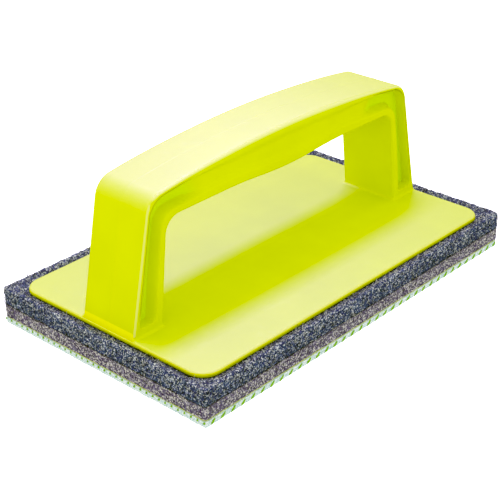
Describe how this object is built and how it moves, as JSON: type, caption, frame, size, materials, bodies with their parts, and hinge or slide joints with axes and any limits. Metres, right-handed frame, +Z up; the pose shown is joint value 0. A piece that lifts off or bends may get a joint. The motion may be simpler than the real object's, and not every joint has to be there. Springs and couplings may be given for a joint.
{
  "type": "grout float",
  "caption": "Hand float with an arched moulded handle on a flat plate that grips a layered scrub pad, for washing grout off tiles.",
  "frame": {"origin": "middle of the pad's working face, which lies on the floor or wall being washed", "axes": "+X along the float, +Y across it, +Z up from the working face towards the handle"},
  "size_m": [0.25, 0.15, 0.1023],
  "materials": {
    "lime_plastic": "satin injection-moulded lime plastic",
    "hook_nylon": "black nylon hook tape",
    "adhesive": "clear pressure-sensitive adhesive",
    "dark_fibre": "coarse dark blue-grey non-woven fibre",
    "bond_film": "thin laminating web",
    "grey_foam": "fine open-cell grey foam",
    "white_cloth": "white looped scrub cloth",
    "lime_yarn": "lime scrub yarn"
  },
  "bodies": {
    "pad": {"cloth_lower_ply": "white_cloth", "lime_yarn_net": "lime_yarn", "cloth_upper_ply": "white_cloth", "lower_bond_film": "bond_film", "grey_foam_layer": "grey_foam", "upper_bond_film": "bond_film", "coarse_fibre_layer": "dark_fibre"},
    "holder": {"holder_moulding": "lime_plastic", "hook_tape_left": "hook_nylon", "hook_tape_centre": "hook_nylon", "hook_tape_right": "hook_nylon", "tape_adhesive_left": "adhesive", "tape_adhesive_centre": "adhesive", "tape_adhesive_right": "adhesive"}
  },
  "joints": [
    {"name": "pad_release", "type": "slide", "parent": "pad", "child": "holder", "axis": [0, 0, 1], "range_m": [0, 0.05]}
  ]
}
